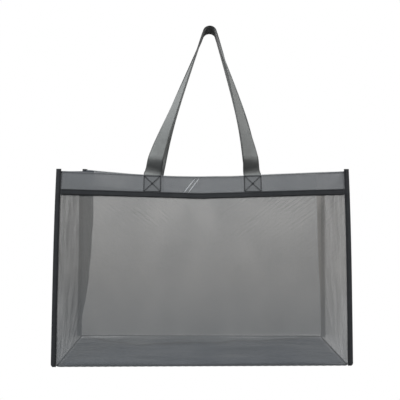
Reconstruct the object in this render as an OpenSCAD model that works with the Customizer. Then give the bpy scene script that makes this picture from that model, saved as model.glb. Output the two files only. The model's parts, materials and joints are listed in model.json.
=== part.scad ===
// Mesh tote bag: five see-through cloth panels, bound corners, taped hem and two webbing handles.
// Front is -Y, left is -X, and the bag stands on Z = 0 with its base centred on the origin.
// Every sheet, tape and strap is a thin solid between two grids of points (see sheet_solid).

/* [Bag] */
// Width at the base, over the corner bindings
bag_w = 500; // [400:5:600]
// Depth at the base, between the front and back panels
bag_d = 180; // [140:5:240]
// Height of the four top corners
bag_h = 323.5; // [280:0.5:400]
// How far the top edge dips in the middle of the front and back
mouth_dip = 10; // [0:1:20]
// How far the middle of the top edge leans into the bag
mouth_lean = 40; // [20:1:50]
// How far the top corners lean into the bag
corner_lean = 10; // [0:1:15]
// How much each side edge comes in from base to top
side_taper = 4; // [0:0.5:10]
// How far each side's crease is tucked in at the top
gusset_tuck = 36; // [10:1:60]

/* [Cloth and tape] */
// Thickness of the mesh cloth
mesh_t = 0.8; // [0.6:0.1:1]
// Thickness of one layer of tape
tape_t = 0.8; // [0.6:0.1:1]
// Width of the folded tape on the hem and the corners
tape_w = 10; // [8:0.5:14]
// Depth of the hem, from the fold to the lower edge of its tape
hem_h = 40; // [30:1:60]
// How far the corner bindings stand above the hem
binding_tab = 3.4; // [1:0.2:6]
// Width of the narrow sewn seams round the base
seam_w = 2.8; // [2:0.2:4]

/* [Handles] */
// Width of the webbing
web_w = 30; // [20:1:40]
// Thickness of the webbing
web_t = 1.4; // [1:0.1:2]
// Centres of the front handle's two ends
front_ends_x = [-81.5, 81.5]; // [-120:0.5:120]
// Centres of the back handle's two ends
back_ends_x = [-82, 94]; // [-120:0.5:120]
// Height of the front handle's loop above the hem
front_rise = 266; // [200:1:300]
// Height of the back handle's loop above the hem
back_rise = 275; // [200:1:300]
// How far the top of each loop is to the right of the middle
apex_x = 14; // [-20:1:20]
// Radius of the bend at the top of each loop
arch_r = 12; // [10:1:20]
// Gap between the two loops where they meet at the top
loop_gap = 3.4; // [2:0.2:8]

/* [Stitching] */
// Thickness of the sewing thread
thread_d = 0.6; // [0.4:0.1:0.8]
// Distance of the boxed stitching from the webbing's edges
stitch_inset = 2; // [1:0.5:4]

/* [Hidden] */

mesh_grey = [0.55, 0.56, 0.55, 0.6];
tape_black = [0.16, 0.17, 0.19];
web_grey = [0.47, 0.49, 0.48];
thread_black = [0.1, 0.1, 0.11];

// Space left between sewn layers, so that curved faces stay apart
fit_gap = 0.2;
// The hem's two layers lie hem_step apart, with the tape's inner leg between them.
hem_step = mesh_t + tape_t + 2 * fit_gap;
hem_crown = hem_step / 2 + mesh_t / 2;
tape_fold = (mesh_t + tape_t) / 2 + fit_gap;
edge_inset = 0.4;
bend_r = 3;
loop_start = 2;
lean_power = 3.5;
dip_power = 0.65;
dip_round = 0.14;
tuck_power = 2.4;
crease_power = 1.15;
twist_power = 0.6;
twist_end = 0.94;
panel_stations = 24;
wall_rows = 9;
hem_rows = 3;
gusset_half_stations = 7;
stitches = 4;

// ---------- Shape of the bag ----------

function taper(z) = side_taper * z / bag_h;
// Half width of the front and back cloth, at its raw edge inside the binding
function edge_x(z) = bag_w / 2 - tape_t - edge_inset - taper(z);
// Distance of a gusset's wall from the middle
function wall_x(z) = bag_w / 2 - tape_w - taper(z);
// 1 in the middle of a panel and 0 at its corners, for u from -1 to 1
function reach(u) = sqrt(u * u + dip_round * dip_round) - dip_round;
function middle(u) = 1 - pow(reach(u) / reach(1), dip_power);
function lean(u, z) = (corner_lean + (mouth_lean - corner_lean) * middle(u)) * pow(z / bag_h, lean_power);
function top_z(u) = bag_h - mouth_dip * middle(u);
function tuck(z) = gusset_tuck * (1 - pow(1 - min(z, bag_h) / bag_h, tuck_power));
// Height of the hem's raw edge on a panel whose top is at high, and of a wall row counted from the bottom
function raw_z(high) = high - hem_h + tape_fold + tape_t / 2;
function row_z(low, high, k) = low + (raw_z(high) - low) * k / wall_rows;
// How far the corner seams swell to make room for the hem's second layer, at height z
function swell(z) =
    let (low = row_z(seam_w, bag_h, wall_rows - 1))
    hem_step * min(1, max(0, (z - low) / (raw_z(bag_h) - low)));
function corner_y(z) = -bag_d / 2 + lean(1, min(z, bag_h));
function flange_y(z) = corner_y(z) + mesh_t + fit_gap + swell(z);

// ---------- Grids and solids ----------

// Points of a 2D line moved sideways, to the left of its direction for a positive distance
function side(line, distance) =
    [for (k = [0 : len(line) - 1])
        let (a = line[max(k - 1, 0)], b = line[min(k + 1, len(line) - 1)], d = (b - a) / norm(b - a))
        line[k] + distance * [-d[1], d[0]]];

// Closed solid between grid A on one face and grid B on the other.
// A[i + 1] - A[i] crossed with the step along a row points out of the solid on A's side.
module sheet_solid(A, B) {
    rows = len(A);
    cols = len(A[0]);
    m = rows - 1;
    n = cols - 1;
    function a(i, j) = i * cols + j;
    function b(i, j) = (rows + i) * cols + j;
    function two(p, q, r, s) = [[p, q, r], [p, r, s]];
    faces = concat(
        [for (i = [0 : m - 1], j = [0 : n - 1]) each two(a(i, j), a(i, j + 1), a(i + 1, j + 1), a(i + 1, j))],
        [for (i = [0 : m - 1], j = [0 : n - 1]) each two(b(i, j), b(i + 1, j), b(i + 1, j + 1), b(i, j + 1))],
        [for (i = [0 : m - 1]) each two(a(i, 0), a(i + 1, 0), b(i + 1, 0), b(i, 0))],
        [for (i = [0 : m - 1]) each two(a(i + 1, n), a(i, n), b(i, n), b(i + 1, n))],
        [for (j = [0 : n - 1]) each two(a(0, j + 1), a(0, j), b(0, j), b(0, j + 1))],
        [for (j = [0 : n - 1]) each two(a(m, j), a(m, j + 1), b(m, j + 1), b(m, j))]);
    polyhedron(points = concat([for (r = A) each r], [for (r = B) each r]), faces = faces, convexity = 8);
}

// Height profiles are lists of [distance outward, height].
// A panel's cloth: up the wall, over the fold at the top and down the hem's outer layer
function cloth_profile(low, high) =
    let (raw = raw_z(high), fold = high - hem_crown, r = hem_step / 2)
    concat([for (k = [0 : wall_rows]) [0, row_z(low, high, k)]],
           [for (k = [1 : hem_rows]) [0, raw + (fold - raw) * k / hem_rows]],
           [for (turn = [45 : 45 : 135]) [r * (1 - cos(turn)), fold + r * sin(turn)]],
           [for (k = [hem_rows : -1 : 0]) [hem_step, raw + (fold - raw) * k / hem_rows]]);

// The tape folded round the hem's raw edge: down the outside, round the edge and up between the layers
function tape_profile(high) =
    let (bend = raw_z(high), rim = high - hem_h + tape_w)
    concat([for (k = [0 : 1]) [hem_step + tape_fold, rim + (bend - rim) * k / 2]],
           [for (turn = [0 : 45 : 180]) [hem_step + tape_fold * cos(turn), bend - tape_fold * sin(turn)]],
           [for (k = [1 : -1 : 0]) [hem_step - tape_fold, rim + (bend - rim) * k / 2]]);

// A point near the front panel, from its place across, its distance outward and its height
function front_point(x, out, z) = [x, -bag_d / 2 + lean(x / edge_x(z), z) - out, z];

module front_sheet(profiles, us, thickness) {
    function face(h) = [for (i = [0 : len(us) - 1])
        [for (p = side(profiles[i], h)) front_point(us[i] * edge_x(p[1]), p[0], p[1])]];
    sheet_solid(face(-thickness / 2), face(thickness / 2));
}

// The right gusset seen from above at one height: front flange, wall with its crease, back flange
function gusset_plan(z) =
    let (y = flange_y(z), w = wall_x(z), c = cos(45),
         front = [[edge_x(z), y], [w + bend_r, y], [w + bend_r * (1 - c), y + bend_r * (1 - c)]],
         wall = [for (k = [-gusset_half_stations : gusset_half_stations])
             let (v = k / gusset_half_stations)
             [w - tuck(z) * (1 - pow(abs(v), crease_power)), -v * (y + bend_r)]])
    concat(front, wall, [for (k = [2 : -1 : 0]) [front[k][0], -front[k][1]]]);

module right_gusset_sheet(profile, thickness, skip) {
    function face(h) =
        let (columns = [for (p = side(profile, h)) [for (q = side(gusset_plan(p[1]), -p[0])) [q[0], q[1], p[1]]]])
        [for (i = [skip : len(columns[0]) - 1 - skip]) [for (column = columns) column[i]]];
    sheet_solid(face(-thickness / 2), face(thickness / 2));
}

// ---------- Panels ----------

module front_cloth() {
    us = [for (k = [0 : panel_stations]) 2 * k / panel_stations - 1];
    front_sheet([for (u = us) cloth_profile(seam_w, top_z(u))], us, mesh_t);
}

module front_panel() {
    color(mesh_grey) front_cloth();
}

module back_panel() {
    color(mesh_grey) mirror([0, 1, 0]) front_cloth();
}

module bottom_panel() {
    width = bag_w - 2 * tape_w - seam_w;
    depth = bag_d - seam_w;
    color(mesh_grey) translate([-width / 2, -depth / 2, 0]) cube([width, depth, mesh_t]);
}

module right_gusset() {
    color(mesh_grey) right_gusset_sheet(cloth_profile(seam_w, bag_h), mesh_t, 0);
}

module left_gusset() {
    color(mesh_grey) mirror([1, 0, 0]) right_gusset_sheet(cloth_profile(seam_w, bag_h), mesh_t, 0);
}

// ---------- Hem tapes ----------

module front_tape() {
    end = (wall_x(bag_h) + 0.5) / edge_x(bag_h);
    us = [for (k = [0 : panel_stations]) end * (2 * k / panel_stations - 1)];
    front_sheet([for (u = us) tape_profile(top_z(u))], us, tape_t);
}

module front_hem_tape() {
    color(tape_black) front_tape();
}

module back_hem_tape() {
    color(tape_black) mirror([0, 1, 0]) front_tape();
}

module right_hem_tape() {
    color(tape_black) right_gusset_sheet(tape_profile(bag_h), tape_t, 3);
}

module left_hem_tape() {
    color(tape_black) mirror([1, 0, 0]) right_gusset_sheet(tape_profile(bag_h), tape_t, 3);
}

// ---------- Corner bindings ----------

// The front right binding from above at one height: front leg, rounded outer edge, back leg
function binding_plan(z) =
    let (out = mesh_t / 2 + tape_t / 2 + fit_gap,
         front = corner_y(z) - swell(z) - out,
         back = flange_y(z) + out,
         far = bag_w / 2 - taper(min(z, bag_h)) - tape_t / 2,
         cut = 0.5)
    [[wall_x(z) + 1, front], [far - cut, front], [far, front + cut],
     [far, back - cut], [far - cut, back], [wall_x(z) + bend_r + 0.3, back]];

module corner_binding() {
    raw = raw_z(bag_h);
    levels = concat([0], [for (k = [1 : wall_rows]) row_z(seam_w, bag_h, k)],
                    [for (k = [1 : 3]) raw + (bag_h + binding_tab - raw) * k / 3]);
    function face(h) =
        let (rings = [for (z = levels) [for (q = side(binding_plan(z), h)) [q[0], q[1], z]]])
        [for (i = [0 : len(rings[0]) - 1]) [for (ring = rings) ring[i]]];
    color(tape_black) sheet_solid(face(-tape_t / 2), face(tape_t / 2));
}

module front_right_binding() corner_binding();
module front_left_binding() mirror([1, 0, 0]) corner_binding();
module back_right_binding() mirror([0, 1, 0]) corner_binding();
module back_left_binding() mirror([1, 0, 0]) mirror([0, 1, 0]) corner_binding();

// ---------- Seams round the base ----------

// A bar along X with its long edges cut off, on Z = 0
module seam_bar(length) {
    h = seam_w / 2;
    cut = seam_w / 4;
    outline = [[-h, cut], [-h + cut, 0], [h - cut, 0], [h, cut],
               [h, seam_w - cut], [h - cut, seam_w], [cut - h, seam_w], [-h, seam_w - cut]];
    color(tape_black) rotate([90, 0, 90]) linear_extrude(length, center = true) polygon(outline);
}

module front_bottom_seam() translate([0, -bag_d / 2, 0]) seam_bar(bag_w - 2 * tape_w - seam_w);
module back_bottom_seam() translate([0, bag_d / 2, 0]) seam_bar(bag_w - 2 * tape_w - seam_w);
module left_bottom_seam() translate([tape_w - bag_w / 2, 0, 0]) rotate([0, 0, 90]) side_seam_bar();
module right_bottom_seam() translate([bag_w / 2 - tape_w, 0, 0]) rotate([0, 0, 90]) side_seam_bar();
module side_seam_bar() seam_bar(bag_d - 4 * (mesh_t + fit_gap) - 2 * tape_t);

// ---------- Handles ----------

function handle_u(ends) = (ends[1] - ends[0]) / 2 / edge_x(bag_h);
function handle_z(ends) = top_z(handle_u(ends));
// Middle of the webbing where it leaves the hem, on the hem's inner face
function web_y(ends) = -bag_d / 2 + lean(handle_u(ends), handle_z(ends)) + mesh_t / 2 + fit_gap + web_t / 2;
function loop_lean(ends, rise) = asin((-web_y(ends) - loop_gap / 2 - web_w / 2) / rise);

function bezier(p, t) =
    pow(1 - t, 3) * p[0] + 3 * t * pow(1 - t, 2) * p[1] + 3 * t * t * (1 - t) * p[2] + pow(t, 3) * p[3];

// The loop in its own plane as [across, up]: two legs that bow outward and a round top between them
function loop_line(ends, rise) =
    let (low_turn = 161, high_turn = 18, top = rise - arch_r, third = 0.34 * rise,
         left_top = [apex_x, top] + arch_r * [cos(low_turn), sin(low_turn)],
         right_top = [apex_x, top] + arch_r * [cos(high_turn), sin(high_turn)],
         left = [[ends[0], 0], [ends[0] + 0.24 * third, third],
                 left_top - third * [0.34, 1], left_top],
         right = [right_top, right_top - third * [-0.31, 1],
                  [ends[1] - 0.14 * third, third], [ends[1], 0]])
    concat([for (k = [0 : 11]) bezier(left, k / 12)],
           [for (k = [0 : 8]) [apex_x, top] + arch_r
               * [cos(low_turn + (high_turn - low_turn) * k / 8), sin(low_turn + (high_turn - low_turn) * k / 8)]],
           [for (k = [1 : 12]) bezier(right, k / 12)]);

// One loop of webbing. Its face turns from the front, where it is sewn, to straight up at the top.
module web_loop(ends, rise) {
    angle = loop_lean(ends, rise);
    line = loop_line(ends, rise);
    last = len(line) - 1;
    base = [0, web_y(ends), handle_z(ends) + loop_start];
    across = [1, 0, 0];
    up = [0, sin(angle), cos(angle)];
    forward = [0, -cos(angle), sin(angle)];
    function place(p) = base + p[0] * across + p[1] * up;
    function along(k) =
        let (d = k == 0 ? [0, 1] : k == last ? [0, -1] : line[k + 1] - line[k - 1])
        d / norm(d);
    function turn(k) = 90 * pow(min(1, line[k][1] / rise / twist_end), twist_power);
    function normal(k) =
        let (d = along(k), out = d[0] * up - d[1] * across)
        cos(turn(k)) * forward + sin(turn(k)) * out;
    function width(k) = cross(along(k)[0] * across + along(k)[1] * up, normal(k));
    function face(h) = [for (k = [0 : last])
        [for (s = [-1, 1]) place(line[k]) + s * web_w / 2 * width(k) + h * normal(k)]];
    color(web_grey) sheet_solid(face(-web_t / 2), face(web_t / 2));
}

module front_handle() web_loop(front_ends_x, front_rise);
module back_handle() mirror([0, 1, 0]) web_loop(back_ends_x, back_rise);

// One sewn end of a handle, flat on the hem's inner face
module web_end(x) {
    steps = 4;
    function face(out) = [for (i = [0 : steps])
        let (across = x + web_w * (i / steps - 0.5), high = top_z(across / edge_x(bag_h)))
        [for (j = [0 : steps]) front_point(across, out, high - (hem_h - tape_w) * (1 - j / steps))]];
    color(web_grey) sheet_solid(face(-mesh_t / 2 - fit_gap), face(-mesh_t / 2 - fit_gap - web_t));
}

module front_handle_left_end() web_end(front_ends_x[0]);
module front_handle_right_end() web_end(front_ends_x[1]);
module back_handle_left_end() mirror([0, 1, 0]) web_end(back_ends_x[0]);
module back_handle_right_end() mirror([0, 1, 0]) web_end(back_ends_x[1]);

// ---------- Stitching ----------

// A row of raised stitches between two points given as [across, height]
module stitch_row(a, b, near, far) {
    half = thread_d / 2 * [b[1] - a[1], a[0] - b[0]] / norm(b - a);
    function face(k, out) = [for (s = [1, -1])
        [for (t = [0.2, 0.8]) let (p = a + (b - a) * (k + t) / stitches + s * half) front_point(p[0], out, p[1])]];
    for (k = [0 : stitches - 1]) sheet_solid(face(k, near), face(k, far));
}

// The boxed cross that holds one end of a handle, with thread on the hem and on the webbing
module boxed_cross(x) {
    w = web_w / 2 - stitch_inset;
    high = top_z((abs(x) + web_w / 2) / edge_x(bag_h)) - 4 * stitch_inset;
    low = high - hem_h + tape_w + 6 * stitch_inset;
    corners = [[x - w, low], [x + w, low], [x + w, high], [x - w, high]];
    lines = [[0, 1], [1, 2], [2, 3], [3, 0], [0, 2], [1, 3]];
    over = hem_step + mesh_t / 2 + fit_gap;
    under = -mesh_t / 2 - web_t - 2 * fit_gap;
    for (line = lines, outside = [false, true])
        stitch_row(corners[line[0]], corners[line[1]],
                   outside ? over + thread_d : under,
                   outside ? over : under - thread_d);
}

module front_box_stitches() color(thread_black) for (x = front_ends_x) boxed_cross(x);
module back_box_stitches() color(thread_black) mirror([0, 1, 0]) for (x = back_ends_x) boxed_cross(x);

// ---------- The bag ----------

front_panel();
back_panel();
bottom_panel();
left_gusset();
right_gusset();
front_hem_tape();
back_hem_tape();
left_hem_tape();
right_hem_tape();
front_left_binding();
front_right_binding();
back_left_binding();
back_right_binding();
front_bottom_seam();
back_bottom_seam();
left_bottom_seam();
right_bottom_seam();
front_handle();
back_handle();
front_handle_left_end();
front_handle_right_end();
back_handle_left_end();
back_handle_right_end();
front_box_stitches();
back_box_stitches();
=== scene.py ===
"""Mesh beach tote: see-through cloth, binding tape, webbing handles and stitching round the CAD frame."""
import json
import math

import bpy
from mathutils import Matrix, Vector, noise


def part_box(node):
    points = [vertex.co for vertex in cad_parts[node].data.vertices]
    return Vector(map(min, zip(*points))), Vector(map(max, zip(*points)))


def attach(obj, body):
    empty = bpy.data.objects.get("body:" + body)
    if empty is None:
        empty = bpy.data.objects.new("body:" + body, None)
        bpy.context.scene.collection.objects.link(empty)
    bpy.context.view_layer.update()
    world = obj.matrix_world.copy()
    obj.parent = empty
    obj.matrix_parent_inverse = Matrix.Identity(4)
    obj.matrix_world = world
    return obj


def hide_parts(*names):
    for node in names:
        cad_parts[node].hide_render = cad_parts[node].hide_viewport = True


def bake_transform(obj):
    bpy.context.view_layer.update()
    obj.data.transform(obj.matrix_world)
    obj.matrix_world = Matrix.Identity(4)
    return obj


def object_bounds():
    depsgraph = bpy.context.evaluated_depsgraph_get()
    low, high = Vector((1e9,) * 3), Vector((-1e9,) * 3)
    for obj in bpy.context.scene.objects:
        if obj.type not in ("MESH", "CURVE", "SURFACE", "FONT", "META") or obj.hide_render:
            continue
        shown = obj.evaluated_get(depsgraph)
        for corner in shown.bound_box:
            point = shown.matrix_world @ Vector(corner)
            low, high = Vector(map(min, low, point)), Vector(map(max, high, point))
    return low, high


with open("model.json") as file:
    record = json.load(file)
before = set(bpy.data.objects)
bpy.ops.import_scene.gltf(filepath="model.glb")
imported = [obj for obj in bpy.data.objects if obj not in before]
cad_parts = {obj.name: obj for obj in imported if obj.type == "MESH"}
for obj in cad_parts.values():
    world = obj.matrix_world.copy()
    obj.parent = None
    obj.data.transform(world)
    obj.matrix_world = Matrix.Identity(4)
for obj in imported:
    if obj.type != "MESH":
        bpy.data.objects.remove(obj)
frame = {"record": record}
CAD_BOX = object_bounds()

# ---------------------------------------------------------------- sizes, in metres, from the frame


MM = 0.001


def middle_of(node, axis):
    low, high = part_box(node)
    return (low[axis] + high[axis]) / 2


def hinge(name):
    joints = frame["record"]["behaviour"]["joints"]
    return Vector(next(j["pos_m"] for j in joints if j["name"] == name))


HALF_W = CAD_BOX[1][0]
HALF_D = middle_of("back_bottom_seam", 1)
CORNER_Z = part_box("front_panel")[1][2]
SEAM_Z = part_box("front_bottom_seam")[1][2]
HINGE = {"front": hinge("front_handle_fold"), "back": hinge("back_handle_fold")}
LOOP_TOP = {s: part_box(f"{s}_handle")[1][2] for s in HINGE}

# Cloth and tape. Layers sewn together keep LAYER_GAP between them. HEM_STEP is from one layer of the
# hem to the other, and RAW_TUCK is how far its raw edge stands up from the tape's fold.
CLOTH_T = 0.5 * MM
TAPE_T = 0.8 * MM
TAPE_W = 10 * MM
TAPE_FOLD_R = 0.8 * MM
LAYER_GAP = 0.1 * MM
HEM_STEP = 1.6 * MM
HEM_H = 40 * MM
RAW_TUCK = 1.2 * MM
TAB = 3.4 * MM
BEND_R = 3 * MM
CORNER_ROUND = 5 * MM
EDGE_INSET = 1.2 * MM
SIDE_TAPER = 4 * MM

# Handles. Each strap's four bows say how far its curve swings out, from its left end to its right.
# BEND_START is where the strap leaves the hem, measured from its sewn end.
HANDLE_SHIFT = {"front": (-3.4 * MM, 4 * MM), "back": (-6.5 * MM, 7 * MM)}
HANDLE_X = {s: [middle_of(f"{s}_handle_{end}_end", 0) + shift
                for end, shift in zip(("left", "right"), HANDLE_SHIFT[s])] for s in HINGE}
WEB_W = 30 * MM
WEB_T = 1.4 * MM
BEND_START = 32 * MM
LOOP_GAP = 3.4 * MM
BOW = {"front": (0.23, 0.35, 0.33, 0.13), "back": (0.20, 0.38, 0.35, 0.12)}
APEX_X = 14 * MM
ARCH_R = 12 * MM
ARCH_FROM, ARCH_TO = math.radians(161), math.radians(18)

# How the bag hangs. The back stands a little askew, and its left corner stands higher and leans in.
LEAN = {"front": 40 * MM, "back": 38 * MM}
CORNER_LEAN = 10 * MM
LEAN_POWER = 3.5
DIP = 10 * MM
DIP_SOFT, DIP_POWER = 0.14, 0.65
DIP_LEVEL, DIP_LEVEL_SPAN = 0.7, 0.06
BACK_SKEW = 7 * MM
BACK_RISE = 10 * MM
BACK_RISE_FROM = 150 * MM
BACK_LIFT = 3 * MM
LEFT_LEAN = 2.4 * MM
TIP_LEAN = 7 * MM
TIP_FROM = 0.86
TUCK = {"left": 37 * MM, "right": 26 * MM}
TUCK_POWER = 3.4
CREASE_SOFT, CREASE_POWER = 0.004, 0.58

# How finely things are cut up.
PANEL_COLS = 140
WALL_ROWS = 44
HEM_ROWS = 12
FOLD_STEPS = 8
FOLD_ROW = WALL_ROWS + HEM_ROWS + FOLD_STEPS // 2
BASE_COLS, BASE_ROWS = 120, 48
SEAM_STEPS = 160
STRAP_COLS = 12


def smooth(low, high, value):
    """Goes from 0 to 1 as the value goes from low to high, level at both ends."""
    t = min(1.0, max(0.0, (value - low) / (high - low)))
    return t * t * (3 - 2 * t)


# ---------------------------------------------------------------- shape of the bag


def taper(z):
    return SIDE_TAPER * z / CORNER_Z


def edge_x(z):
    """Half width of the front and back cloth, inside the binding."""
    return HALF_W - EDGE_INSET - taper(z)


def left_lean(y, z):
    """How far the left side comes in, beyond its taper: more at the tip of its back corner."""
    level = min(z, CORNER_Z) / CORNER_Z
    return LEFT_LEAN * level + TIP_LEAN * smooth(0, HALF_D, y) * smooth(TIP_FROM, 1, level)


def left_rise(y, z):
    """How far the left side is raised towards its back corner."""
    return BACK_RISE * smooth(-HALF_D, HALF_D, y) * smooth(BACK_RISE_FROM, CORNER_Z, z)


def wall_x(z):
    """Half width between the two side cloths where they leave the bindings."""
    return HALF_W - TAPE_W - taper(z)


def middle(u):
    """1 in the middle of a panel's top edge and 0 at its corners."""
    reach = math.hypot(u, DIP_SOFT) - DIP_SOFT
    return 1 - (reach / (math.hypot(1, DIP_SOFT) - DIP_SOFT)) ** DIP_POWER


def dip(u):
    """How far a panel's top edge hangs down: level between the handles."""
    share = middle(u)
    if share > DIP_LEVEL:
        share = DIP_LEVEL + DIP_LEVEL_SPAN * (1 - math.exp((DIP_LEVEL - share) / DIP_LEVEL_SPAN))
    return DIP * share


def ripple(x, z, seed, wide, tall):
    """Smooth noise between about -1 and 1."""
    return noise.noise(Vector((x / wide, z / tall, seed)))


class Panel:
    """The front or back cloth as a surface: at(u, out, z), for u from -1 to 1 and out away from the bag."""

    BILLOW = 2.2 * MM
    CRINKLE = 0.7 * MM
    EDGE_WAVE = 0.6 * MM

    def __init__(self, side):
        self.side = side
        self.sign = -1 if side == "front" else 1
        self.seed = 3.1 if side == "front" else 17.7

    def top(self, u):
        rise = BACK_LIFT + BACK_RISE * max(0.0, -u) ** 1.6 if self.side == "back" else 0.0
        wave = self.EDGE_WAVE * ripple(u, 0, self.seed, 0.22, 1) * (1 - u * u)
        return CORNER_Z - dip(u) + rise + wave

    def lean(self, u):
        return CORNER_LEAN + (LEAN[self.side] - CORNER_LEAN) * middle(u)

    def hem(self, u):
        """Height from the hem's fold to its lower edge. It is less where the panel leans."""
        slope = LEAN_POWER * self.lean(u) / CORNER_Z
        return HEM_H / math.hypot(1, slope) + DIP * middle(u) - dip(u)

    def at(self, u, out, z):
        level = min(z, CORNER_Z) / CORNER_Z
        lean = self.lean(u) * level ** LEAN_POWER
        skew = -BACK_SKEW * u if self.side == "back" else 0.0
        free = (1 - u ** 6) * smooth(0, 0.35, level)
        wave = self.BILLOW * ripple(u * HALF_W, z, self.seed, 0.13, 0.2) * free
        wave += self.CRINKLE * ripple(u * HALF_W, z, self.seed + 5, 0.045, 0.07) * free
        y = self.sign * (HALF_D + skew - lean + wave + out)
        x = u * edge_x(z) + left_lean(y, z) * max(0.0, -u) ** 2
        return Vector((x, y, z))

    def near(self, x, out, z):
        """The surface at a distance x from the middle."""
        return self.at(x / edge_x(z), out, z)


PANELS = {"front": Panel("front"), "back": Panel("back")}


class Gusset:
    """A side cloth from its front flange to its back flange, with the crease tucked in between."""

    STEPS = 40
    BILLOW = 2.4 * MM
    CRINKLE = 1.2 * MM

    def __init__(self, side):
        self.side = side
        self.sign = -1 if side == "left" else 1

    def plan(self, z):
        """Points (x, y) at height z from front to back, for a side cloth on the right."""
        front = PANELS["front"].at(self.sign, 0, z).y + CLOTH_T
        back = PANELS["back"].at(self.sign, 0, z).y - CLOTH_T
        wall = wall_x(z)
        turn = BEND_R * (1 - math.cos(math.pi / 4))
        lead = [(edge_x(z), 0.0), (wall + BEND_R, 0.0), (wall + turn, turn)]
        level = min(z, CORNER_Z) / CORNER_Z
        tuck = TUCK[self.side] * (1 - (1 - level) ** TUCK_POWER)
        points = [(x, front + y) for x, y in lead]
        for k in range(-self.STEPS // 2, self.STEPS // 2 + 1):
            v = 2 * k / self.STEPS
            y = (front + back) / 2 + v * ((back - front) / 2 - BEND_R)
            free = (1 - v ** 4) * smooth(0.02, 0.3, level)
            wave = self.BILLOW * ripple(y, z, self.sign * 4.3, 0.03, 0.16) * free
            wave += self.CRINKLE * ripple(y + z * 0.4, z, self.sign * 9.1, 0.016, 0.07) * free
            points.append((wall - tuck * (1 - (v * v + CREASE_SOFT) ** CREASE_POWER) + wave, y))
        points += [(x, back - y) for x, y in reversed(lead)]
        return points

    def row(self, out, z):
        """The plan at height z, moved outward."""
        points = self.plan(z)
        moved = []
        for k, (x, y) in enumerate(points):
            a = points[max(k - 1, 0)]
            b = points[min(k + 1, len(points) - 1)]
            dx, dy = b[0] - a[0], b[1] - a[1]
            size = math.hypot(dx, dy)
            shift = left_lean(y, z + left_rise(y, z)) if self.side == "left" else 0.0
            moved.append(Vector((self.sign * (x + out * dy / size) + shift, y - out * dx / size, z)))
        return moved


GUSSETS = {"left": Gusset("left"), "right": Gusset("right")}

# ---------------------------------------------------------------- mesh tools


def new_object(name, verts, faces, uvs, material):
    """A smooth shaded mesh object. The uvs are one for each vertex, or None."""
    mesh = bpy.data.meshes.new(name)
    mesh.from_pydata([tuple(v) for v in verts], [], faces)
    if uvs is not None:
        layer = mesh.uv_layers.new(name="cloth")
        for loop in mesh.loops:
            layer.data[loop.index].uv = uvs[loop.vertex_index]
    mesh.polygons.foreach_set("use_smooth", [True] * len(mesh.polygons))
    obj = bpy.data.objects.new(name, mesh)
    bpy.context.scene.collection.objects.link(obj)
    mesh.materials.append(material)
    return obj


def dress(obj, node):
    """Hangs the object on the bag, and hides the part of the node it stands for, if any."""
    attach(obj, "bag")
    if node:
        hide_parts(node)
    return obj


def distances(points):
    """How far each point is along the line through them."""
    total = [0.0]
    for a, b in zip(points, points[1:]):
        total.append(total[-1] + (b - a).length)
    return total


def grid_object(name, grid, material, thickness, origin=0):
    """A cloth sheet from rows of points, given thickness. Its UVs are metres across the rows from the
    first one, and along each row from the column that is its origin."""
    rows, cols = len(grid), len(grid[0])
    verts = [p for row in grid for p in row]
    faces = [(i * cols + j, i * cols + j + 1, (i + 1) * cols + j + 1, (i + 1) * cols + j)
             for i in range(rows - 1) for j in range(cols - 1)]
    across = distances([row[cols // 3] for row in grid])
    along = distances(grid[rows // 3])
    along = [v - along[origin] for v in along]
    uvs = [(across[i], along[j]) for i in range(rows) for j in range(cols)]
    obj = new_object(name, verts, faces, uvs, material)
    solid = obj.modifiers.new("thickness", "SOLIDIFY")
    solid.thickness = thickness
    solid.offset = 0
    return baked(obj)


def baked(obj):
    """Applies the object's modifiers."""
    graph = bpy.context.evaluated_depsgraph_get()
    mesh = bpy.data.meshes.new_from_object(obj.evaluated_get(graph))
    mesh.name = obj.name
    old = obj.data
    obj.modifiers.clear()
    obj.data = mesh
    bpy.data.meshes.remove(old)
    return obj


def ring_faces(first, rings, count):
    """The faces of a closed tube of that many rings of count points, numbered on from first."""
    faces = []
    for a in range(first, first + (rings - 1) * count, count):
        b = a + count
        faces += [(a + j, a + (j + 1) % count, b + (j + 1) % count, b + j) for j in range(count)]
    last = first + (rings - 1) * count
    return faces + [tuple(first + j for j in reversed(range(count))), tuple(last + j for j in range(count))]


def tube_rings(name, rings, material, uvs):
    """A solid swept through rings of points of equal count."""
    verts = [p for ring in rings for p in ring]
    return new_object(name, verts, ring_faces(0, len(rings), len(rings[0])), uvs, material)


# ---------------------------------------------------------------- materials


def new_material(name, colour, roughness, **sockets):
    """A material with those values on its shader's own sockets. Returns it, its tree and its shader."""
    material = bpy.data.materials.new(name)
    material.use_nodes = True
    shader = material.node_tree.nodes["Principled BSDF"]
    shader.inputs["Base Color"].default_value = (*colour, 1)
    shader.inputs["Roughness"].default_value = roughness
    for key, value in sockets.items():
        shader.inputs[key.replace("_", " ")].default_value = value
    return material, material.node_tree, shader


def math_node(tree, operation, a, b=0.0, clamp=False):
    """An operation on numbers or sockets. Clamped, its result stays between 0 and 1."""
    node = tree.nodes.new("ShaderNodeMath")
    node.operation = operation
    node.use_clamp = clamp
    for socket, value in zip(node.inputs, (a, b)):
        if isinstance(value, (int, float)):
            socket.default_value = value
        else:
            tree.links.new(value, socket)
    return node.outputs[0]


def times(tree, a, b):
    return math_node(tree, "MULTIPLY", a, b)


def plus(tree, a, b, clamp=False):
    return math_node(tree, "ADD", a, b, clamp)


def minus(tree, a, b, clamp=False):
    return math_node(tree, "SUBTRACT", a, b, clamp)


def object_axes(tree):
    """The place in metres, in the object's own space."""
    return tree.nodes.new("ShaderNodeTexCoord").outputs["Object"]


def split_axes(tree, vector):
    """Its x, y and z."""
    split = tree.nodes.new("ShaderNodeSeparateXYZ")
    tree.links.new(vector, split.inputs[0])
    return split.outputs


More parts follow.
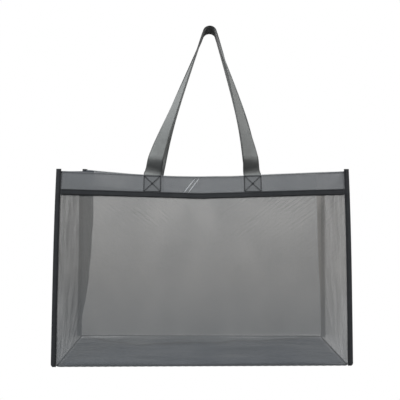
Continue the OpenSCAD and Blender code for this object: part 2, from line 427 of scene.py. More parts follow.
def cloth_axes(tree):
    """The UVs, and the metres across and along the cloth from them."""
    uv = tree.nodes.new("ShaderNodeUVMap")
    uv.uv_map = "cloth"
    axes = split_axes(tree, uv.outputs[0])
    return uv.outputs[0], axes[0], axes[1]


def threads(tree, distance, pitch, power):
    """0 to 1 across each thread of that pitch."""
    turn = times(tree, distance, math.pi / pitch)
    wave = math_node(tree, "ABSOLUTE", math_node(tree, "SINE", turn))
    return math_node(tree, "POWER", wave, power)


def add_noise(tree, vector, scale, detail):
    node = tree.nodes.new("ShaderNodeTexNoise")
    node.inputs["Scale"].default_value = scale
    node.inputs["Detail"].default_value = detail
    node.inputs["Roughness"].default_value = 0.55
    tree.links.new(vector, node.inputs["Vector"])
    return node.outputs["Fac"]


def ramp(tree, value, low, high, dark, light):
    """Goes from dark to light as the value goes from low to high."""
    node = tree.nodes.new("ShaderNodeMapRange")
    for socket, number in zip(node.inputs[1:5], (low, high, dark, light)):
        socket.default_value = number
    tree.links.new(value, node.inputs[0])
    return node.outputs[0]


def tint(tree, shader, factor, dark, light):
    """Mixes two colours into the base colour."""
    node = tree.nodes.new("ShaderNodeMix")
    node.data_type = "RGBA"
    node.inputs[6].default_value = (*dark, 1)
    node.inputs[7].default_value = (*light, 1)
    tree.links.new(factor, node.inputs[0])
    tree.links.new(node.outputs[2], shader.inputs["Base Color"])


def wash(tree, shader, factor, colour):
    """Multiplies the base colour by that colour, by that share."""
    node = tree.nodes.new("ShaderNodeMix")
    node.data_type = "RGBA"
    node.blend_type = "MULTIPLY"
    node.inputs[7].default_value = (*colour, 1)
    tree.links.new(shader.inputs["Base Color"].links[0].from_socket, node.inputs[6])
    tree.links.new(factor, node.inputs[0])
    tree.links.new(node.outputs[2], shader.inputs["Base Color"])


def blended(tree, first, second, share):
    """The first value by that share, and the second by the rest."""
    return plus(tree, times(tree, first, share), times(tree, second, 1 - share))


def away(tree, value, centre):
    """How far the value is from that centre."""
    return math_node(tree, "ABSOLUTE", minus(tree, value, centre))


def add_bump(tree, shader, height, strength, distance):
    node = tree.nodes.new("ShaderNodeBump")
    node.inputs["Strength"].default_value = strength
    node.inputs["Distance"].default_value = distance
    tree.links.new(height, node.inputs["Height"])
    tree.links.new(node.outputs[0], shader.inputs["Normal"])


# Each part of a mesh cloth as where it fades in or out, along from the hem's fold.
MESH_PITCH = 1.25 * MM
# The next span is where the painted shade on the lower cloth fades out, going up.
LOW_SHADE_PART = (-320 * MM, -170 * MM)
HEM_PART = (-43 * MM, -35 * MM)
HEM_TINT = (1.10, 1.15, 1.24)
# A painted shade line runs along the hem's fold: where it lies, its darkening tint and the opacity it adds.
HEM_LINE = 2.6 * MM
HEM_FOLD_SHADE_TINT = (0.35, 0.36, 0.38)
HEM_LINE_OPACITY = 0.3
WATERED_PART = (-260 * MM, -80 * MM)
WATERED_OPACITY = (0.003, 0.015)


def streaks(tree, across, along, wide, tall):
    """Smooth noise from 0 to 1 in soft streaks of that size across and along the cloth."""
    join = tree.nodes.new("ShaderNodeCombineXYZ")
    tree.links.new(math_node(tree, "DIVIDE", across, wide), join.inputs[0])
    tree.links.new(math_node(tree, "DIVIDE", along, tall), join.inputs[1])
    return ramp(tree, add_noise(tree, join.outputs[0], 1.0, 2.5), 0.3, 0.7, 0, 1)


def watered(tree, uv, across, along):
    """A faint pattern of slanting bands, as two layers of fine weave make. It fades towards the base."""
    slant = minus(tree, times(tree, along, 760.0), times(tree, away(tree, across, HALF_W), 560.0))
    bent = plus(tree, slant, times(tree, add_noise(tree, uv, 6.0, 1.0), 22.0))
    return times(tree, math_node(tree, "SINE", bent), ramp(tree, along, *WATERED_PART, *WATERED_OPACITY))


def mesh_material(name, dark, light, cover, cover_swing, streak, wide, tall, low=(0.95, 1.01, 1.09)):
    """Open plain weave, in places along from the hem's fold. Cover is how much of what is behind it one
    face of the cloth hides, streak is how much that changes in streaks, and low is a painted shade that
    tints the lower part. A painted shade line runs along the hem's fold."""
    material, tree, shader = new_material(name, light, 0.6, Sheen_Weight=0.15, Sheen_Roughness=0.4,
                                          Specular_IOR_Level=0.3)
    uv, across, along = cloth_axes(tree)
    weave = times(tree, threads(tree, across, MESH_PITCH, 0.7), threads(tree, along, MESH_PITCH, 0.7))
    cloud = streaks(tree, across, along, wide, tall)
    tint(tree, shader, ramp(tree, blended(tree, weave, cloud, 0.4), 0.1, 0.9, 0, 1), dark, light)
    # Painted shade: the lower cloth is tinted bluer, and on the left side cloth darker too.
    wash(tree, shader, ramp(tree, along, *LOW_SHADE_PART, 1, 0), low)
    wash(tree, shader, ramp(tree, along, *HEM_PART, 0, 1), HEM_TINT)
    # Painted shade: a dark line along the hem's fold, which also makes the cloth there more opaque.
    line = ramp(tree, away(tree, along, HEM_LINE), 0.5 * MM, 1.4 * MM, 1, 0)
    wash(tree, shader, line, HEM_FOLD_SHADE_TINT)
    hole = minus(tree, 0.62, weave)
    folds = minus(tree, 0.5, cloud)
    opacity = plus(tree, times(tree, hole, -cover_swing), cover)
    opacity = plus(tree, times(tree, folds, streak), opacity)
    opacity = plus(tree, watered(tree, uv, across, along), opacity)
    opacity = plus(tree, times(tree, line, HEM_LINE_OPACITY), opacity, clamp=True)
    tree.links.new(opacity, shader.inputs["Alpha"])
    add_bump(tree, shader, weave, 0.35, 0.25 * MM)
    return material


def tape_material(name, dark, light):
    """Ribbed binding tape."""
    material, tree, shader = new_material(name, light, 0.75, Sheen_Weight=0.08, Specular_IOR_Level=0.2)
    uv, across, along = cloth_axes(tree)
    weave = times(tree, threads(tree, across, 0.9 * MM, 0.8), threads(tree, along, 0.7 * MM, 0.8))
    cloud = add_noise(tree, uv, 60.0, 4.0)
    tint(tree, shader, ramp(tree, blended(tree, weave, cloud, 0.6), 0.2, 0.8, 0, 1), dark, light)
    add_bump(tree, shader, weave, 0.5, 0.2 * MM)
    return material


def webbing_material():
    """Grey woven webbing with lengthwise ribs, darker along its edges. Painted shade darkens it just above
    the hem and at the top of its loop, and painted light makes it paler in between. Its places along are
    from the nearer sewn end."""
    material, tree, shader = new_material("webbing", (0.2, 0.21, 0.21), 0.5, Sheen_Weight=0.3)
    uv, across, along = cloth_axes(tree)
    ribs = threads(tree, across, 1.5 * MM, 0.6)
    picks = threads(tree, plus(tree, along, times(tree, ribs, 0.5 * MM)), 1.1 * MM, 0.8)
    weave = times(tree, ribs, picks)
    light = ramp(tree, blended(tree, weave, add_noise(tree, uv, 25.0, 4.0), 0.55), 0.2, 0.75, 0, 1)
    rim = ramp(tree, away(tree, across, WEB_W / 2), WEB_W / 2 - 2.6 * MM, WEB_W / 2 - 0.8 * MM, 0, 0.55)
    # Painted shade just above the hem, where the strap bends.
    foot = times(tree, ramp(tree, along, BEND_START, BEND_START + 8 * MM, 0, 0.9),
                 ramp(tree, along, BEND_START + 11 * MM, BEND_START + 36 * MM, 1, 0))
    # Painted shade at the top of the loop.
    apex = ramp(tree, along, 265 * MM, 295 * MM, 0, 0.5)
    # Painted light: the legs are made paler between the bend and the top.
    pale = times(tree, ramp(tree, along, 110 * MM, 190 * MM, 0, 1.0),
                 ramp(tree, along, 240 * MM, 280 * MM, 1, 0))
    darker = minus(tree, plus(tree, plus(tree, rim, foot), apex), pale)
    tint(tree, shader, minus(tree, light, darker, clamp=True), (0.032, 0.036, 0.037), (0.240, 0.257, 0.258))
    add_bump(tree, shader, weave, 0.6, 0.35 * MM)
    return material


def thread_material():
    """Dark polyester sewing thread."""
    material, tree, shader = new_material("thread", (0.010, 0.012, 0.015), 0.6, Sheen_Weight=0.05,
                                          Specular_IOR_Level=0.2)
    twist = add_noise(tree, object_axes(tree), 900.0, 2.0)
    tint(tree, shader, twist, (0.004, 0.005, 0.006), (0.016, 0.018, 0.021))
    add_bump(tree, shader, twist, 0.4, 0.1 * MM)
    return material


def glint_material():
    """A painted highlight: pale cloth standing in for the light that a crease catches."""
    material, tree, shader = new_material("painted_crease_glint", (0.55, 0.58, 0.61), 0.35)
    shimmer = add_noise(tree, object_axes(tree), 260.0, 2.0)
    tint(tree, shader, shimmer, (0.30, 0.32, 0.34), (0.75, 0.79, 0.82))
    return material


def add_sag_painted_shade(material):
    """A painted shade over the base: a soft dark band that stands in for its back edge hanging forward in
    the middle, and paler cloth painted behind it. Here across is from the base's left edge and along is
    from its front edge."""
    tree = material.node_tree
    shader = tree.nodes["Principled BSDF"]
    _, across, along = cloth_axes(tree)
    left = ramp(tree, across, 0, 130 * MM, 0, 1)
    right = ramp(tree, across, 270 * MM, 480 * MM, 1, 0)
    depth = times(tree, math_node(tree, "SINE", times(tree, left, math.pi / 2)), right)
    scallop = times(tree, streaks(tree, across, 0.0, 55 * MM, 1.0), 14 * MM)
    fold = plus(tree, times(tree, depth, -70 * MM), scallop)
    behind = minus(tree, minus(tree, along, 178 * MM), fold)
    # Paler cloth painted behind the fold.
    wash(tree, shader, ramp(tree, behind, 0, 14 * MM, 0, 1), (2.20, 2.00, 1.65))
    # Painted shade: a soft dark band along the fold.
    line = ramp(tree, math_node(tree, "ABSOLUTE", behind), 2 * MM, 9 * MM, 1, 0)
    wash(tree, shader, line, (0.20, 0.21, 0.23))
    return material


CLOTH = mesh_material("mesh_cloth", (0.155, 0.160, 0.162), (0.197, 0.199, 0.194),
                      cover=0.40, cover_swing=0.16, streak=0.03, wide=60 * MM, tall=120 * MM)
# Lit and shaded copies of one cloth: the left side cloth is darker and bluer, as painted shade on its inner
# face, with a stronger painted shade low down, and the right one is paler and warmer, as painted light.
LIT_AND_SHADED_SIDE_CLOTH = {
    "left": mesh_material("mesh_left_painted_shade", (0.048, 0.056, 0.066), (0.142, 0.153, 0.168),
                          cover=0.58, cover_swing=0.14, streak=0.26, wide=9 * MM, tall=90 * MM,
                          low=(0.80, 0.91, 1.03)),
    "right": mesh_material("mesh_right_painted_light", (0.385, 0.360, 0.340), (0.540, 0.510, 0.485),
                           cover=0.47, cover_swing=0.14, streak=0.19, wide=9 * MM, tall=90 * MM),
}
BASE_CLOTH = add_sag_painted_shade(mesh_material("mesh_base", (0.060, 0.074, 0.100), (0.215, 0.245, 0.295),
                                   cover=0.50, cover_swing=0.14, streak=0.40, wide=130 * MM, tall=22 * MM))
TAPE = tape_material("binding_tape", (0.008, 0.009, 0.011), (0.034, 0.038, 0.043))
SOFT_SEAM = tape_material("soft_seam", (0.045, 0.050, 0.056), (0.085, 0.092, 0.100))
PALE_SEAM = tape_material("pale_seam", (0.110, 0.115, 0.118), (0.165, 0.170, 0.172))
WEBBING = webbing_material()
THREAD_M = thread_material()
GLINT = glint_material()

# ---------------------------------------------------------------- cloth


def cloth_profile(low, high, hem=HEM_H):
    """A cloth's height profile as (distance outward, height): up, over the fold and down outside."""
    raw = high - hem + RAW_TUCK
    radius = HEM_STEP / 2
    fold = high - radius - CLOTH_T / 2
    up = [(0, low + (raw - low) * k / WALL_ROWS) for k in range(WALL_ROWS + 1)]
    up += [(0, raw + (fold - raw) * k / HEM_ROWS) for k in range(1, HEM_ROWS + 1)]
    over = [(radius * (1 - math.cos(a)), fold + radius * math.sin(a))
            for a in (math.pi * k / FOLD_STEPS for k in range(1, FOLD_STEPS))]
    down = [(HEM_STEP, raw + (fold - raw) * k / HEM_ROWS) for k in range(HEM_ROWS, -1, -1)]
    return up + over + down


CLOTH_FOOT = SEAM_Z - 1 * MM
PANEL_US = [2 * k / PANEL_COLS - 1 for k in range(PANEL_COLS + 1)]


def make_panel(side):
    panel = PANELS[side]
    grid = [[panel.at(u, out, z) for out, z in cloth_profile(CLOTH_FOOT, panel.top(u), panel.hem(u))]
            for u in PANEL_US]
    obj = dress(grid_object(f"{side}_cloth", grid, CLOTH, CLOTH_T, FOLD_ROW), f"{side}_panel")


def make_gusset(side):
    grid = side_grid(side, cloth_profile(CLOTH_FOOT, CORNER_Z))
    obj = grid_object(f"{side}_side_cloth", grid, LIT_AND_SHADED_SIDE_CLOTH[side], CLOTH_T, FOLD_ROW)
    dress(obj, f"{side}_gusset")


def side_grid(side, profile):
    """Rows of points up a side cloth, one row for each of its places from front to back."""
    columns = [GUSSETS[side].row(out, z) for out, z in profile]
    return lifted([list(row) for row in zip(*columns)], side)


def lifted(grid, side):
    """Raises the left side cloth towards its back, where the back panel's corner is higher."""
    if side == "right":
        return grid
    for row in grid:
        for p in row:
            p.z += left_rise(p.y, p.z)
    return grid


BASE_LOW = 1.2 * MM
BASE_RISE = 3.0 * MM
BASE_WAVE = 5.5 * MM


def make_base():
    half_x = HALF_W - TAPE_W
    grid = []
    for i in range(BASE_COLS + 1):
        row = []
        for j in range(BASE_ROWS + 1):
            u, v = 2 * i / BASE_COLS - 1, 2 * j / BASE_ROWS - 1
            free = (1 - u ** 8) * (1 - v ** 8)
            x, y = u * half_x, v * (HALF_D - BACK_SKEW * u * (v + 1) / 2)
            wave = ripple(x * 0.25, y, 2.7, 0.05, 0.05) + 0.5 * ripple(x, y, 8.1, 0.06, 0.022)
            row.append(Vector((x, y, BASE_LOW + free * max(0.0, BASE_RISE + BASE_WAVE * wave))))
        grid.append(row)
    obj = dress(grid_object("base_cloth", grid, BASE_CLOTH, CLOTH_T), "bottom_panel")


# Each painted glint strip as (x at its foot, x at its top, half its width).
GLINT_STRIPS = ((-31 * MM, -10.5 * MM, 0.9 * MM), (-23.5 * MM, -4 * MM, 0.8 * MM))
GLINT_STEPS = 24


def make_painted_glints():
    """Two painted highlights on the front hem: thin pale strips standing in for the glints of two creases.
    """
    panel = PANELS["front"]
    verts, faces = [], []
    for low_x, high_x, width in GLINT_STRIPS:
        first = len(verts)
        for k in range(GLINT_STEPS + 1):
            t = k / GLINT_STEPS
            x = low_x + (high_x - low_x) * t
            z = panel.top(0) - panel.hem(0) * (0.72 - 0.66 * t)
            half = width * math.sin(math.pi * min(1, t + 0.03)) ** 0.7 + 0.05 * MM
            for across, out in ((-half, 0.05 * MM), (0, 0.35 * MM), (half, 0.05 * MM), (0, -0.1 * MM)):
                verts.append(panel.near(x + across, HEM_STEP + CLOTH_T / 2 + out, z))
        faces += ring_faces(first, GLINT_STEPS + 1, 4)
    dress(new_object("front_hem_painted_glints", verts, faces, None, GLINT), None)


for name in ("front", "back"):
    make_panel(name)
make_painted_glints()
for name in ("left", "right"):
    make_gusset(name)
make_base()

# ---------------------------------------------------------------- tapes


TAPE_BULGE = 0.25 * MM


def tape_profile(high, hem=HEM_H):
    """The hem tape's height profile: down the outside, round the raw edge and up between the layers."""
    bend = high - hem + RAW_TUCK
    rim = high - hem + TAPE_W * hem / HEM_H
    down = [(HEM_STEP + TAPE_FOLD_R + TAPE_BULGE * math.sin(math.pi * k / 6), rim + (bend - rim) * k / 6)
            for k in range(6)]
    around = [(HEM_STEP + TAPE_FOLD_R * math.cos(a), bend - TAPE_FOLD_R * math.sin(a))
              for a in (math.pi * k / 6 for k in range(7))]
    up = [(HEM_STEP - TAPE_FOLD_R, bend + (rim - bend) * k / 3) for k in range(1, 4)]
    return down + around + up


def make_hem_tape(side):
    panel = PANELS[side]
    end = (wall_x(CORNER_Z) + 0.5 * MM) / edge_x(CORNER_Z)
    grid = [[panel.at(u, out, z) for out, z in tape_profile(panel.top(u), panel.hem(u))]
            for u in (end * v for v in PANEL_US)]
    dress(grid_object(f"{side}_hem_tape_sewn", grid, TAPE, TAPE_T), f"{side}_hem_tape")


def make_side_tape(side):
    """The tape on a side cloth's hem, from inside one corner's flange to inside the other's."""
    grid = side_grid(side, tape_profile(CORNER_Z))[3:-3]
    dress(grid_object(f"{side}_hem_tape_sewn", grid, TAPE, TAPE_T), f"{side}_hem_tape")


def corner_rise(front_back, side):
    return BACK_RISE if (front_back, side) == ("back", "left") else 0.0


def corner_top(front_back, side):
    """The top of a binding, which stands a tab's height above the cloth's corner."""
    return CORNER_Z + TAB + corner_rise(front_back, side)


def rounding(z):
    """How far a binding's lower outer corner is rounded off at height z."""
    below = max(0.0, CORNER_ROUND - z)
    return CORNER_ROUND - math.sqrt(CORNER_ROUND ** 2 - below ** 2)


def binding_plan(front_back, side, z):
    """The binding's fold from above: outer leg, rounded edge, inner leg, as (x, y)."""
    panel = PANELS[front_back]
    sx = -1 if side == "left" else 1
    inward = -panel.sign
    hem_low = CORNER_Z + corner_rise(front_back, side) - HEM_H
    bulge = HEM_STEP * smooth(hem_low - 4 * MM, hem_low + 1 * MM, z)
    out = CLOTH_T / 2 + TAPE_T / 2 + LAYER_GAP + bulge
    y0 = panel.at(sx, 0, z).y
    outer, inner = y0 - inward * out, y0 + inward * (CLOTH_T + out)
    mid, half = (outer + inner) / 2, (inner - outer) / 2
    far = HALF_W - taper(min(z, CORNER_Z)) - TAPE_T / 2 - rounding(z)
    soft = abs(half)
    points = [(wall_x(z) + 1 * MM, outer), (wall_x(z) + 3 * MM, outer), (far - soft * 2, outer)]
    points += [(far - soft + soft * math.cos(a), mid + half * math.sin(a))
               for a in (math.pi * (k / 6 - 0.5) for k in range(7))]
    points += [(far - soft * 2, inner), (wall_x(z) + BEND_R + 0.3 * MM, inner)]
    shift = left_lean(y0, z) if side == "left" else 0.0
    return [Vector((sx * x + shift, y, z)) for x, y in points]


def make_binding(front_back, side):
    top = corner_top(front_back, side)
    levels = [k * MM for k in (0.4, 0.8, 1.4, 2.2, 3.2)]
    levels += [4.4 * MM + (top - 4.4 * MM) * k / 76 for k in range(77)]
    grid = [list(row) for row in zip(*(binding_plan(front_back, side, z) for z in levels))]
    name = f"{front_back}_{side}_binding"
    dress(grid_object(f"{name}_sewn", grid, TAPE, TAPE_T), name)


PUCKER_PITCH = 4 * MM
SEAM_SIDES = 10


def make_seam(name, start, end, radius, material):
    """A narrow sewn seam: a soft rolled edge with small puckers."""
    rings = []
    d = (end - start).normalized()
    across, up = Vector((-d.y, d.x, 0)), Vector((0, 0, 1))
    total = (end - start).length
    turns = [2 * math.pi * j / SEAM_SIDES for j in range(SEAM_SIDES)]
    for k in range(SEAM_STEPS + 1):
        p = start + (end - start) * k / SEAM_STEPS
        pucker = 1 + 0.12 * math.sin(total * k / SEAM_STEPS * 2 * math.pi / PUCKER_PITCH)
        r = radius * (0.3 if k in (0, SEAM_STEPS) else 1) * pucker
        rings.append([p + across * r * math.cos(a) + up * r * math.sin(a) for a in turns])
    uvs = [(j / SEAM_SIDES * 8 * MM, total * i / SEAM_STEPS)
           for i in range(SEAM_STEPS + 1) for j in range(SEAM_SIDES)]
    dress(tube_rings(f"{name}_sewn", rings, material, uvs), name)


for name in ("front", "back"):
    make_hem_tape(name)
for name in ("left", "right"):
    make_side_tape(name)
for ends in ("front", "back"):
    for name in ("left", "right"):
        make_binding(ends, name)

SEAM_MID = 1.5 * MM
SEAM_END = 2 * MM
WALL = HALF_W - TAPE_W
for name, radius, material in (("front", 1.2 * MM, SOFT_SEAM), ("back", 0.9 * MM, PALE_SEAM)):
    ys = [PANELS[name].at(u, 0, SEAM_MID).y for u in (-1, 1)]
    make_seam(f"{name}_bottom_seam", Vector((-WALL, ys[0], SEAM_MID)), Vector((WALL, ys[1], SEAM_MID)),
              radius, material)
for name, sx in (("left", -1), ("right", 1)):
    ys = [PANELS[s].at(sx, 0, SEAM_MID).y for s in ("front", "back")]
    make_seam(f"{name}_bottom_seam", Vector((sx * WALL, ys[0] + SEAM_END, SEAM_MID)),
              Vector((sx * WALL, ys[1] - SEAM_END, SEAM_MID)), 1.3 * MM, TAPE)

# ---------------------------------------------------------------- handles


def bezier(points, t):
    """The place at t, from 0 to 1, on a cubic curve."""
    a, b, c, d = points
    return (1 - t) ** 3 * a + 3 * t * (1 - t) ** 2 * b + 3 * t * t * (1 - t) * c + t ** 3 * d


class Loop:
    """One handle: its free loop in a leaning plane, and its sewn ends on the hem's inner face."""

    LEG_STEPS = 60
    ARCH_STEPS = 24
    END_STEPS = 10
    THIRD = 0.34
    ARCH_SLOPE = 0.17
    TURN = math.radians(90)
    TURN_AT, TURN_POWER = 0.94, 0.6

    def __init__(self, side):
        self.panel = PANELS[side]
        self.ends = HANDLE_X[side]
        self.bow = BOW[side]
        self.out = -(CLOTH_T / 2 + WEB_T / 2 + LAYER_GAP)
        starts = [self.panel.near(x, self.out, self.panel.top(x / edge_x(CORNER_Z))) for x in self.ends]
        self.base = Vector((0, (starts[0].y + starts[1].y) / 2, (starts[0].z + starts[1].z) / 2))
        apex = Vector((0, self.panel.sign * (LOOP_GAP + WEB_W) / 2,
                       LOOP_TOP[side] - WEB_W / 2 * self.ARCH_SLOPE - WEB_T))
        self.rise = (apex - self.base).length
        self.up = (apex - self.base).normalized()
        self.across = Vector((1, 0, 0))
        self.forward = self.outward(self.up.cross(self.across))

    def outward(self, direction):
        """That direction, or its opposite if it points into the bag."""
        return -direction if direction.y * self.panel.sign < 0 else direction

    def line(self):
        """The loop's middle line as (across, up) in its plane."""
        third = self.THIRD * self.rise
        centre = Vector((APEX_X, self.rise - ARCH_R))

        def arch(a):
            return centre + ARCH_R * Vector((math.cos(a), math.sin(a)))

        left = [Vector((self.ends[0], 0)), Vector((self.ends[0] + self.bow[0] * third, third)),
                arch(ARCH_FROM) - third * Vector((self.bow[1], 1)), arch(ARCH_FROM)]
        right = [arch(ARCH_TO), arch(ARCH_TO) - third * Vector((-self.bow[2], 1)),
                 Vector((self.ends[1] - self.bow[3] * third, third)), Vector((self.ends[1], 0))]
        legs, steps = self.LEG_STEPS, self.ARCH_STEPS
        return ([bezier(left, k / legs) for k in range(legs)]
                + [arch(ARCH_FROM + (ARCH_TO - ARCH_FROM) * k / steps) for k in range(steps + 1)]
                + [bezier(right, k / legs) for k in range(1, legs + 1)])

    def curl(self, height):
        """How far the strap stands back from the loop's plane, or forward if below 0. It bends back at the
        hem's edge, then forward in a hook, and straightens out further up."""
        return (3.5 * MM * smooth(0, 8 * MM, height) - 17 * MM * smooth(5 * MM, 28 * MM, height)
                + 13.5 * MM * smooth(28 * MM, 120 * MM, height))

    def free_frames(self):
        """(middle, face normal, width direction) along the free loop, turning edge on towards its top."""
        line = self.line()
        result = []
        for k, p in enumerate(line):
            a, b = line[max(k - 1, 0)], line[min(k + 1, len(line) - 1)]
            d = (b - a).normalized()
            out = self.up * d.x - self.across * d.y
            turn = self.TURN * min(1, max(0, p.y) / self.rise / self.TURN_AT) ** self.TURN_POWER
            normal = (self.forward * math.cos(turn) + out * math.sin(turn)).normalized()
            along = self.across * d.x + self.up * d.y
            centre = self.base + self.across * p.x + self.up * p.y - self.forward * self.curl(p.y)
            result.append((centre, normal, along.cross(normal)))
        return result

    def end_frames(self, x, way):
        """The same up a sewn end at that x. The way is 1 if the strap runs up there and -1 if down."""
        u = x / edge_x(CORNER_Z)
        high = self.panel.top(u)
        tall = self.panel.hem(u) * (1 - TAPE_W / HEM_H)
        result = []
        for k in range(self.END_STEPS):
            z = high - tall * (1 - k / self.END_STEPS) - 0.5 * MM
            slope = self.panel.near(x, self.out, z + 1 * MM) - self.panel.near(x, self.out, z - 1 * MM)
            normal = self.outward(Vector((0, -slope.z, slope.y)).normalized())
            along = slope.normalized() * way
            result.append((self.panel.near(x, self.out, z), normal, along.cross(normal)))
        return result

    def frames(self):
        """All of the strap's frames, from one sewn end to the other."""
        last = self.end_frames(self.ends[1], -1)
        return self.end_frames(self.ends[0], 1) + self.free_frames() + list(reversed(last))


def strap(name, frames, material):
    """Webbing through those frames, with rounded edges and a slightly thicker rim."""
    rings = []
    profile = [2 * k / STRAP_COLS - 1 for k in range(STRAP_COLS + 1)]
    for centre, normal, width in frames:
        top, low = [], []
        for s in profile:
            rim = smooth(0.8, 0.93, abs(s))
            half = WEB_T / 2 * (0.82 + 0.18 * rim) * (0.35 if abs(s) == 1 else 1)
            place = centre + width * (s * WEB_W / 2)
            top.append(place + normal * half)
            low.append(place - normal * half)
        rings.append(top + list(reversed(low)))
    along = distances([centre for centre, _, _ in frames])
    along = [min(v, along[-1] - v) for v in along]
    across = [(s + 1) / 2 * WEB_W for s in profile]
    uvs = [(a, v) for v in along for a in across + list(reversed(across))]
    return tube_rings(name, rings, material, uvs)


def make_handle(side):
    loop = Loop(side)
    obj = strap(f"{side}_handle_strap", loop.frames(), WEBBING)
    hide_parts(f"{side}_handle", f"{side}_handle_left_end", f"{side}_handle_right_end")
    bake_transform(obj)


for name in ("front", "back"):
    make_handle(name)

# ---------------------------------------------------------------- stitching


THREAD = 0.7 * MM
STITCH_SIDES = 6
ROW_DROPS = (HEM_H - TAPE_W + 1.6 * MM, HEM_H - 1.9 * MM)

# Each ring of a stitch as (place from end to end, size and lift as shares of the thread's radius).
STITCH_RINGS = ((0, 0.35, -0.4), (0.2, 1, 0.35), (0.8, 1, 0.35), (1, 0.35, -0.4))


def stitch_mesh(name, lines, node=None, pitch=3.4 * MM, share=0.72):
    """Rows of stitches as one mesh. Each line is (points on the surface, direction out of it)."""
    verts, faces = [], []
    for points, outward in lines:
        lengths = distances(points)
        count = max(1, int(lengths[-1] / pitch))
        for k in range(count):
            middle_at, reach = lengths[-1] * (k + 0.5) / count, lengths[-1] * share / 2 / count
            a, b = (point_at(points, lengths, middle_at + s * reach) for s in (-1, 1))
            add_stitch(verts, faces, a, b, outward)
    dress(new_object(name, verts, faces, None, THREAD_M), node)


def point_at(points, lengths, distance):
    """The place at that distance along the line."""
    for k in range(1, len(points)):
        if lengths[k] >= distance or k == len(points) - 1:
            span = lengths[k] - lengths[k - 1]
            t = (distance - lengths[k - 1]) / span if span else 0
            return points[k - 1].lerp(points[k], min(1, max(0, t)))
    return points[-1]


def add_stitch(verts, faces, a, b, outward):
    """One raised stitch from a to b, sunk at its ends."""
    w = (b - a).normalized().cross(outward).normalized()
    faces.extend(ring_faces(len(verts), len(STITCH_RINGS), STITCH_SIDES))
    for t, size, lift in STITCH_RINGS:
        centre = a.lerp(b, t) + outward * THREAD * lift
        for j in range(STITCH_SIDES):
            angle = 2 * math.pi * j / STITCH_SIDES
            verts.append(centre + (w * math.cos(angle) + outward * math.sin(angle)) * THREAD * size)


def hem_lines(side):
    """The two rows along a panel's hem tape, near its upper and lower edges."""
    panel = PANELS[side]
    end = (wall_x(CORNER_Z) - 1 * MM) / edge_x(CORNER_Z)
    us = [end * v for v in PANEL_US]
    return [([panel.at(u, HEM_STEP + 1.3 * MM, panel.top(u) - drop * panel.hem(u) / HEM_H) for u in us],
             Vector((0, panel.sign, 0))) for drop in ROW_DROPS]


def side_lines(side):
    """The same along a side cloth's hem tape."""
    gusset = GUSSETS[side]
    return [(lifted([gusset.row(HEM_STEP + 1.4 * MM, CORNER_Z - drop)[5:-5]], side)[0],
             Vector((gusset.sign, 0, 0))) for drop in ROW_DROPS]


def binding_lines(front_back, side):
    """A row down each leg of the binding, near its inner edge."""
    top = corner_top(front_back, side) - 1 * MM
    levels = [1 * MM + (top - 1 * MM) * k / 60 for k in range(61)]
    plans = [binding_plan(front_back, side, z) for z in levels]
    sign = PANELS[front_back].sign
    outer = [p[1] + Vector((0, sign * TAPE_T / 2, 0)) for p in plans]
    inner = [p[-2].lerp(p[-1], 0.6) - Vector((0, sign * TAPE_T / 2, 0)) for p in plans]
    return [(outer, Vector((0, sign, 0))), (inner, Vector((0, -sign, 0)))]


def cross_lines(side):
    """The boxed cross on the hem over each handle end, and on the webbing behind it."""
    panel = PANELS[side]
    lines = []
    half = WEB_W / 2 - 1 * MM
    for x in HANDLE_X[side]:
        u = x / edge_x(CORNER_Z)
        high = panel.top(u) - 1.6 * MM
        low = panel.top(u) - panel.hem(u) * (1 - TAPE_W / HEM_H) + 0.8 * MM
        corners = [(x - half, low), (x + half, low), (x + half, high), (x - half, high)]
        for i, j in ((0, 1), (1, 2), (2, 3), (3, 0), (0, 2), (1, 3)):
            (xa, za), (xb, zb) = corners[i], corners[j]
            for out, sign in ((HEM_STEP + CLOTH_T / 2, 1), (-CLOTH_T / 2 - WEB_T - LAYER_GAP, -1)):
                points = [panel.near(xa + (xb - xa) * k / 8, out, za + (zb - za) * k / 8) for k in range(9)]
                lines.append((points, Vector((0, sign * panel.sign, 0))))
    return lines


for name in ("front", "back"):
    stitch_mesh(f"{name}_hem_stitches", hem_lines(name))
    stitch_mesh(f"{name}_cross_stitches", cross_lines(name), f"{name}_box_stitches",
                pitch=3.2 * MM, share=0.86)
for name in ("left", "right"):
    stitch_mesh(f"{name}_hem_stitches", side_lines(name))
for ends in ("front", "back"):
    for name in ("left", "right"):
        stitch_mesh(f"{ends}_{name}_binding_stitches", binding_lines(ends, name))

# ---------------------------------------------------------------- studio

CAMERA_AT = (-0.0157, -0.916, 0.275)
CAMERA_TURN = math.radians(-0.8)


def camera_only(tree, seen, otherwise):
    """A value that is one number for what the camera sees directly and another for light that bounces."""
    path = tree.nodes.new("ShaderNodeLightPath")
    return ramp(tree, path.outputs["Is Camera Ray"], 0, 1, otherwise, seen)


# The floor's shade. Far is a place's distance from the camera along y, beside is its distance from the
# middle, aside is beside over far, and down is the camera's height over far. SHADE lies behind the bag
# as the camera sees it, and UNDER lies beneath it. Each pair is where that shade starts and ends.
FLOOR = 9
SHADE = 0.5
SHADE_DOWN = (0.03, 0.25)
SHADE_ASIDE = (0.24, 0.288)
SHADE_FAR = (1.0, 1.03)
UNDER = 0.85
UNDER_FROM, UNDER_TO = (0.83, 0.84), (0.99, 1.03)
UNDER_BESIDE = (0.235, 0.245)
BOUNCE_GREY = 0.22
AMBIENT = (0.49, 0.38)


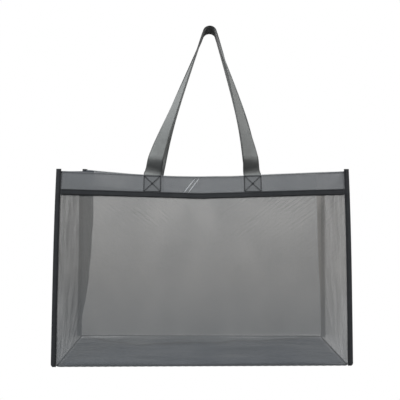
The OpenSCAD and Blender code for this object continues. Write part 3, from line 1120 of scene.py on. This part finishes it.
def make_floor():
    """White to the camera, shaded where the bag stands in front of it, and dark to light that bounces."""
    material, tree, shader = new_material("floor_white", (0.2, 0.2, 0.2), 0.9, Specular_IOR_Level=0.0)
    axes = split_axes(tree, object_axes(tree))
    far = math_node(tree, "MAXIMUM", plus(tree, axes[1], -CAMERA_AT[1]), 0.1)
    beside = math_node(tree, "ABSOLUTE", axes[0])
    aside = math_node(tree, "DIVIDE", beside, far)
    down = math_node(tree, "DIVIDE", CAMERA_AT[2], far)
    shade = times(tree, ramp(tree, down, *SHADE_DOWN, 0, SHADE), ramp(tree, aside, *SHADE_ASIDE, 1, 0))
    shade = times(tree, shade, ramp(tree, far, *SHADE_FAR, 0, 1))
    under = times(tree, ramp(tree, far, *UNDER_FROM, 0, 1), ramp(tree, far, *UNDER_TO, UNDER, 0))
    under = times(tree, under, ramp(tree, beside, *UNDER_BESIDE, 1, 0))
    seen = camera_only(tree, 1.0, 0.0)
    glow = times(tree, seen, minus(tree, 1.0, math_node(tree, "MAXIMUM", shade, under)))
    shader.inputs["Emission Color"].default_value = (1, 1, 1, 1)
    tree.links.new(glow, shader.inputs["Emission Strength"])
    tint(tree, shader, seen, (BOUNCE_GREY,) * 3, (0, 0, 0))
    corners = [(-FLOOR, -FLOOR, 0), (FLOOR, -FLOOR, 0), (FLOOR, FLOOR, 0), (-FLOOR, FLOOR, 0)]
    new_object("floor", corners, [(0, 1, 2, 3)], None, material)


def make_world():
    """White to the camera, and otherwise an even light that is stronger from the left."""
    world = bpy.data.worlds.new("studio")
    bpy.context.scene.world = world
    world.use_nodes = True
    tree = world.node_tree
    back = tree.nodes["Background"]
    back.inputs["Color"].default_value = (1, 1, 1, 1)
    direction = tree.nodes.new("ShaderNodeTexCoord").outputs["Generated"]
    ambient = ramp(tree, split_axes(tree, direction)[0], -1, 1, *AMBIENT)
    unseen = times(tree, ambient, camera_only(tree, 0.0, 1.0))
    tree.links.new(plus(tree, camera_only(tree, 1.0, 0.0), unseen), back.inputs["Strength"])


def make_light(name, place, target, size, power, colour):
    data = bpy.data.lights.new(name, "AREA")
    data.shape = "DISK"
    data.size = size
    data.energy = power
    data.color = colour
    light = bpy.data.objects.new(name, data)
    light.location = place
    light.rotation_euler = (Vector(target) - Vector(place)).to_track_quat("-Z", "Y").to_euler()
    bpy.context.scene.collection.objects.link(light)


def make_camera():
    data = bpy.data.cameras.new("camera")
    data.lens = 45
    data.sensor_width = 36
    camera = bpy.data.objects.new("camera", data)
    camera.location = CAMERA_AT
    camera.rotation_euler = (math.radians(90), 0, CAMERA_TURN)
    bpy.context.scene.collection.objects.link(camera)
    bpy.context.scene.camera = camera


make_floor()
make_world()
make_camera()
make_light("key", (-1.5, -1.5, 1.6), (0, 0, 0.25), 1.0, 50, (1, 1, 0.99))
make_light("fill", (2.0, -1.3, 1.0), (0, 0, 0.4), 1.0, 30, (1, 0.965, 0.93))
bpy.context.scene.view_settings.view_transform = "Standard"
bpy.context.scene.cycles.transparent_max_bounces = 48
